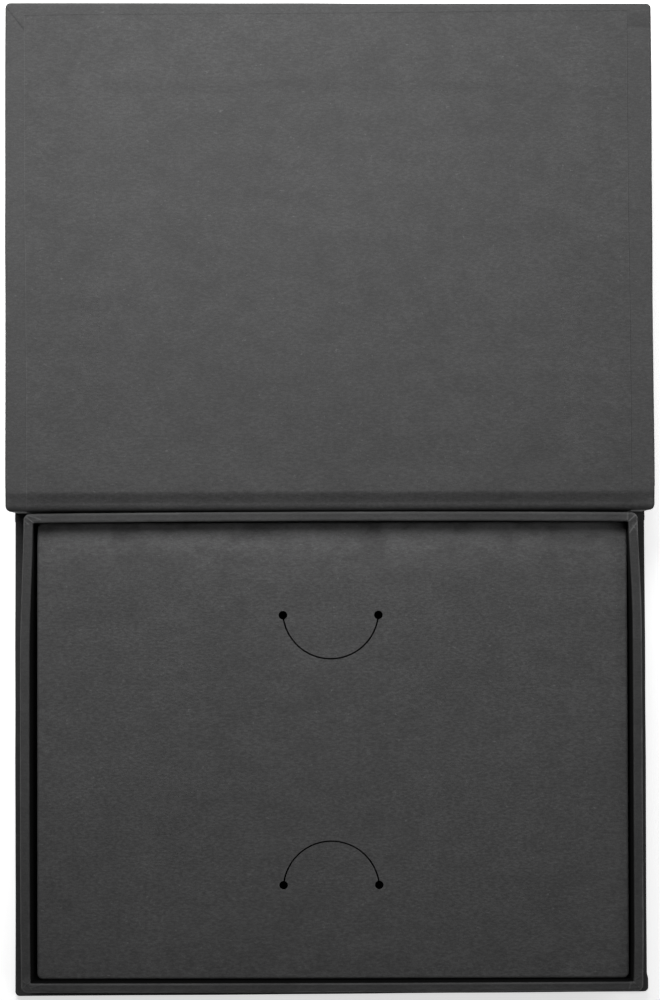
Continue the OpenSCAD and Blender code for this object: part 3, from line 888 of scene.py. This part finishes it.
# How far the card's edges lie past those of the plain solid
CARD_LEFT, CARD_RIGHT = 0.25, 0.2
CARD_FRONT, CARD_BACK = 0.35, 0.2
CARD_CORNER_R = 1.2
BACK_SAG, FRONT_SAG = 0.8, 0.25
CARD_WAVE = 0.05
TAB_SHIFT = 0.2
TAB_W = 22.2
TAB_REACH = 10.15
TAB_R = ((TAB_W / 2) ** 2 + TAB_REACH**2) / (2 * TAB_REACH)
TAB_MID = TAB_R - TAB_REACH
STOP_R = 1.0
SLIT = 0.36
# Rubbed paler card edges; a painted highlight along the back edge; painted shade on the legs
CARD_EDGE_WEAR, CARD_BACK_HIGHLIGHT = 0.12, 1.3
LEG_SHADE = 0.5


def platform_shell(name):
    """The card's face and its four legs, half a millimetre thick."""
    steps = (0.0, 0.03, 0.08, 0.15, 0.25, 0.38, 0.55, 0.85, 1.2, 1.7, 2.4)
    x0, x1 = PLATFORM_LOW[0] + CARD_SHIFT + CARD_LEFT, PLATFORM_HIGH[0] + CARD_SHIFT + CARD_RIGHT
    y0, y1 = PLATFORM_LOW[1] - CARD_FRONT, PLATFORM_HIGH[1] + CARD_BACK
    xs = spaced(x0, x1, 1.7, edge=steps)
    ys = spaced(y0, y1, 1.7, edge=steps)
    x, y = np.meshgrid(xs, ys)
    inset = np.minimum.reduce([x - x0, x1 - x, y - y0, y1 - y])
    crown = CROWN - 0.1 * np.exp(-inset / 4.0)
    sag = BACK_SAG * np.exp(-(y1 - y) / 4.2) + FRONT_SAG * np.exp(-(y - y0) / 5.0)
    px, py = round_corners(x, y, CARD_CORNER_R)
    z = PLATFORM_HIGH[2] + crown - sag - edge_drop(inset, FOLD_R)
    wave = waver(px, 51, 90, CARD_WAVE) + waver(py, 52, 70, CARD_WAVE)
    z = z + wave * ramp(inset, 2, 12)
    top = np.stack([px, py, z], -1).reshape(-1, 3)
    loop = edge_loop(*x.shape)
    rings, faces = [top], list(grid_faces(*x.shape))
    last = loop
    count = len(top)
    for depth in np.linspace(0, 1, 6)[1:]:
        ring = top[loop].copy()
        ring[:, 2] = ring[:, 2] + (PLATFORM_LOW[2] - ring[:, 2]) * depth
        rings.append(ring)
        here = count + np.arange(len(loop))
        faces += list(np.stack([last, here, np.roll(here, -1), np.roll(last, -1)], -1))
        last = here
        count += len(loop)
    obj = new_piece(name, np.concatenate(rings), faces, PLATFORM_CARD)
    turn_faces(obj, face=len(xs) * len(ys) // 2)
    return thicken(obj, CARD_T, even=True)


def prism(name, outline, low, high):
    """An upright cutter over a closed outline."""
    n = len(outline)
    points = [(x, y, z) for z in (low, high) for x, y in outline]
    faces = [list(range(n))[::-1], list(range(n, 2 * n))]
    for i in range(n):
        j = (i + 1) % n
        faces.append([i, j, n + j, n + i])
    return new_piece(name, points, faces, PLATFORM_CARD)


def tab_outline(side, shift):
    """Half disc under a fold line; side is 1 for the rear tab and -1 for the front one."""
    radius = TAB_R + shift
    rise = math.asin(min(1, TAB_MID / radius))
    angles = np.linspace(math.pi + rise, 2 * math.pi - rise, 73)
    middle = FOLD_Y + TAB_MID
    return [(TAB_SHIFT + radius * math.cos(a), side * (middle + radius * math.sin(a))) for a in angles]


def punch_tree():
    """Four punch pins at the ends of the two fold lines, for the stop holes."""
    tree = bpy.data.node_groups.new("stop_punch", "GeometryNodeTree")
    face = tree.interface
    sockets = {}
    for label, value in (("Tab Width", TAB_W), ("Fold Spacing", 2 * FOLD_Y), ("Hole Radius", STOP_R),
                         ("Pin Length", 5.0), ("Card Level", PLATFORM_HIGH[2]), ("Sideways", TAB_SHIFT)):
        socket = face.new_socket(label, in_out="INPUT", socket_type="NodeSocketFloat")
        sockets[label] = (socket.identifier, value * MM)
    face.new_socket("Geometry", in_out="OUTPUT", socket_type="NodeSocketGeometry")
    group_in = tree.nodes.new("NodeGroupInput")
    group_out = tree.nodes.new("NodeGroupOutput")
    corners = tree.nodes.new("GeometryNodeMeshGrid")
    corners.inputs["Vertices X"].default_value = 2
    corners.inputs["Vertices Y"].default_value = 2
    pin = tree.nodes.new("GeometryNodeMeshCylinder")
    pin.inputs["Vertices"].default_value = 32
    spread = tree.nodes.new("GeometryNodeInstanceOnPoints")
    lift = tree.nodes.new("ShaderNodeCombineXYZ")
    move = tree.nodes.new("GeometryNodeTransform")
    real = tree.nodes.new("GeometryNodeRealizeInstances")
    finish = tree.nodes.new("GeometryNodeSetMaterial")
    finish.inputs["Material"].default_value = PLATFORM_CARD
    for a, b in (
        (group_in.outputs["Tab Width"], corners.inputs["Size X"]),
        (group_in.outputs["Fold Spacing"], corners.inputs["Size Y"]),
        (group_in.outputs["Hole Radius"], pin.inputs["Radius"]),
        (group_in.outputs["Pin Length"], pin.inputs["Depth"]),
        (group_in.outputs["Sideways"], lift.inputs["X"]),
        (group_in.outputs["Card Level"], lift.inputs["Z"]),
        (corners.outputs["Mesh"], spread.inputs["Points"]),
        (pin.outputs["Mesh"], spread.inputs["Instance"]),
        (spread.outputs["Instances"], move.inputs["Geometry"]),
        (lift.outputs["Vector"], move.inputs["Translation"]),
        (move.outputs["Geometry"], real.inputs["Geometry"]),
        (real.outputs["Geometry"], finish.inputs["Geometry"]),
        (finish.outputs["Geometry"], group_out.inputs["Geometry"]),
    ):
        tree.links.new(a, b)
    return tree, sockets


def stop_punch():
    """The four pins as one mesh."""
    mesh = bpy.data.meshes.new("stop_punch")
    obj = bpy.data.objects.new("stop_punch", mesh)
    bpy.context.scene.collection.objects.link(obj)
    tree, sockets = punch_tree()
    maker = obj.modifiers.new("stop_punch", "NODES")
    maker.node_group = tree
    for identifier, value in sockets.values():
        maker[identifier] = value
    return baked(obj)


def cut(obj, cutter, operation):
    """An exact boolean, made part of the mesh."""
    tool = obj.modifiers.new(operation.lower(), "BOOLEAN")
    tool.object = cutter
    tool.operation = operation
    tool.solver = "EXACT"
    baked(obj)


def remove(*objects):
    for obj in objects:
        bpy.data.objects.remove(obj, do_unlink=True)


def platform():
    """The card and its two tabs, cut from the same folded sheet so that they meet along the slit."""
    low, high = PLATFORM_HIGH[2] - 3, PLATFORM_HIGH[2] + 2
    card = platform_shell("platform_card_folded")
    stops = stop_punch()
    for side, body, node in ((1, "rear_tab", "rear_card_tab"), (-1, "front_tab", "front_card_tab")):
        shape = prism("shape", tab_outline(side, -SLIT / 2), low, high)
        tab = platform_shell(body + "_card")
        cut(tab, shape, "INTERSECT")
        cut(tab, stops, "DIFFERENCE")
        finish_card(tab)
        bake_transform(tab)
        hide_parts(node)
        remove(shape)
    for side in (1, -1):
        hole = prism("hole", tab_outline(side, SLIT / 2), low, high)
        cut(card, hole, "DIFFERENCE")
        remove(hole)
    cut(card, stops, "DIFFERENCE")
    remove(stops)
    finish_card(card)
    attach(card, "tray")
    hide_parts("platform_card")


def finish_card(obj):
    """Smooth faces, a paler back edge painted as a highlight, and painted shade on the card's legs."""
    obj.data.polygons.foreach_set("use_smooth", [True] * len(obj.data.polygons))
    obj.data.set_sharp_from_angle(angle=math.radians(30))
    co = coordinates(obj)
    inset = np.minimum.reduce([
        co[:, 0] - PLATFORM_LOW[0] - CARD_SHIFT, PLATFORM_HIGH[0] + CARD_SHIFT - co[:, 0],
        co[:, 1] - PLATFORM_LOW[1], PLATFORM_HIGH[1] - co[:, 1],
    ])
    high = co[:, 2] > PLATFORM_HIGH[2] - 1.5
    # Painted highlight along the back edge; painted shade on the legs below the card's face
    back = np.exp(-(PLATFORM_HIGH[1] - co[:, 1]) / 3.6)
    wear_and_highlight = (CARD_EDGE_WEAR * np.exp(-(((inset - 0.5) / 0.5) ** 2)) + CARD_BACK_HIGHLIGHT * back) * high
    paint(obj, wear_and_highlight, LEG_SHADE * (1 - ramp(co[:, 2], PLATFORM_HIGH[2] - 2.2, PLATFORM_HIGH[2] - 1.0)))


def dress_inner_nodes():
    """The boards and the floor lining that keep their CAD shapes get finished materials."""
    for node, finish in (("front_board", BOARD), ("tray_floor", BOARD), ("floor_lining", LINING_PAPER)):
        materials = frame["nodes"][node].data.materials
        materials.clear()
        materials.append(finish)


# Floor, light and camera

FLOOR_HALF = 3.0
FLOOR_WHITE = 0.93
FLOOR_GLOW = 0.55
WORLD_LIGHT = 0.07
PHOTO_HEIGHT_PX = 1000
FOCAL_PX = 3010.4
CAMERA_PLACE = (0.0022, 0.0392, 0.7186)
CAMERA_TILT = (1.542, 0.174, -0.174)


def studio():
    """A pale floor that glows a little, two soft lights and a faint even sky."""
    mesh = bpy.data.meshes.new("floor")
    corners = [(x * FLOOR_HALF, y * FLOOR_HALF, 0) for x, y in ((-1, -1), (1, -1), (1, 1), (-1, 1))]
    mesh.from_pydata(corners, [], [(0, 1, 2, 3)])
    floor = bpy.data.objects.new("floor", mesh)
    bpy.context.scene.collection.objects.link(floor)
    floor.location.z = -0.0001
    n = Nodes("pale_floor")
    n.shader.inputs["Base Color"].default_value = (FLOOR_WHITE, FLOOR_WHITE, FLOOR_WHITE, 1)
    n.shader.inputs["Roughness"].default_value = 0.9
    n.shader.inputs["Specular IOR Level"].default_value = 0.1
    n.shader.inputs["Emission Color"].default_value = (1, 1, 1, 1)
    n.shader.inputs["Emission Strength"].default_value = FLOOR_GLOW
    mesh.materials.append(n.material)
    area_light("key", place=(-0.035, 0.225, 0.235), target=(0.0, 0.16, 0.0), size=(0.28, 0.18), power=1.4)
    area_light("fill", place=(0.3, 0.04, 0.5), target=(0.0, 0.03, 0.0), size=(0.4, 0.4), power=0.8)
    world = bpy.data.worlds.new("studio")
    bpy.context.scene.world = world
    world.use_nodes = True
    background = world.node_tree.nodes["Background"]
    background.inputs["Color"].default_value = (1, 1, 1, 1)
    background.inputs["Strength"].default_value = WORLD_LIGHT


def area_light(name, place, target, size, power):
    """A soft oval light that faces its target."""
    data = bpy.data.lights.new(name, "AREA")
    data.shape = "ELLIPSE"
    data.size, data.size_y = size
    data.energy = power
    obj = bpy.data.objects.new(name, data)
    bpy.context.scene.collection.objects.link(obj)
    obj.location = place
    obj.rotation_euler = (Vector(target) - Vector(place)).to_track_quat("-Z", "Y").to_euler()


def camera():
    """An overhead camera, tipped a little, in the photograph's upright frame."""
    data = bpy.data.cameras.new("overhead")
    data.sensor_width = 36.0
    data.lens = FOCAL_PX * data.sensor_width / PHOTO_HEIGHT_PX
    data.clip_start = 0.01
    data.clip_end = 20
    obj = bpy.data.objects.new("overhead", data)
    bpy.context.scene.collection.objects.link(obj)
    obj.location = CAMERA_PLACE
    obj.rotation_euler = Euler([math.radians(a) for a in CAMERA_TILT], "XYZ")
    bpy.context.scene.camera = obj


dress_inner_nodes()
cover_case_paper()
lining()
joint_turn_in()
joint_outer_paper()
spine_case_paper()
back_case_paper()
tray_walls()
platform()
studio()
camera()
bpy.context.scene.view_settings.view_transform = "Standard"
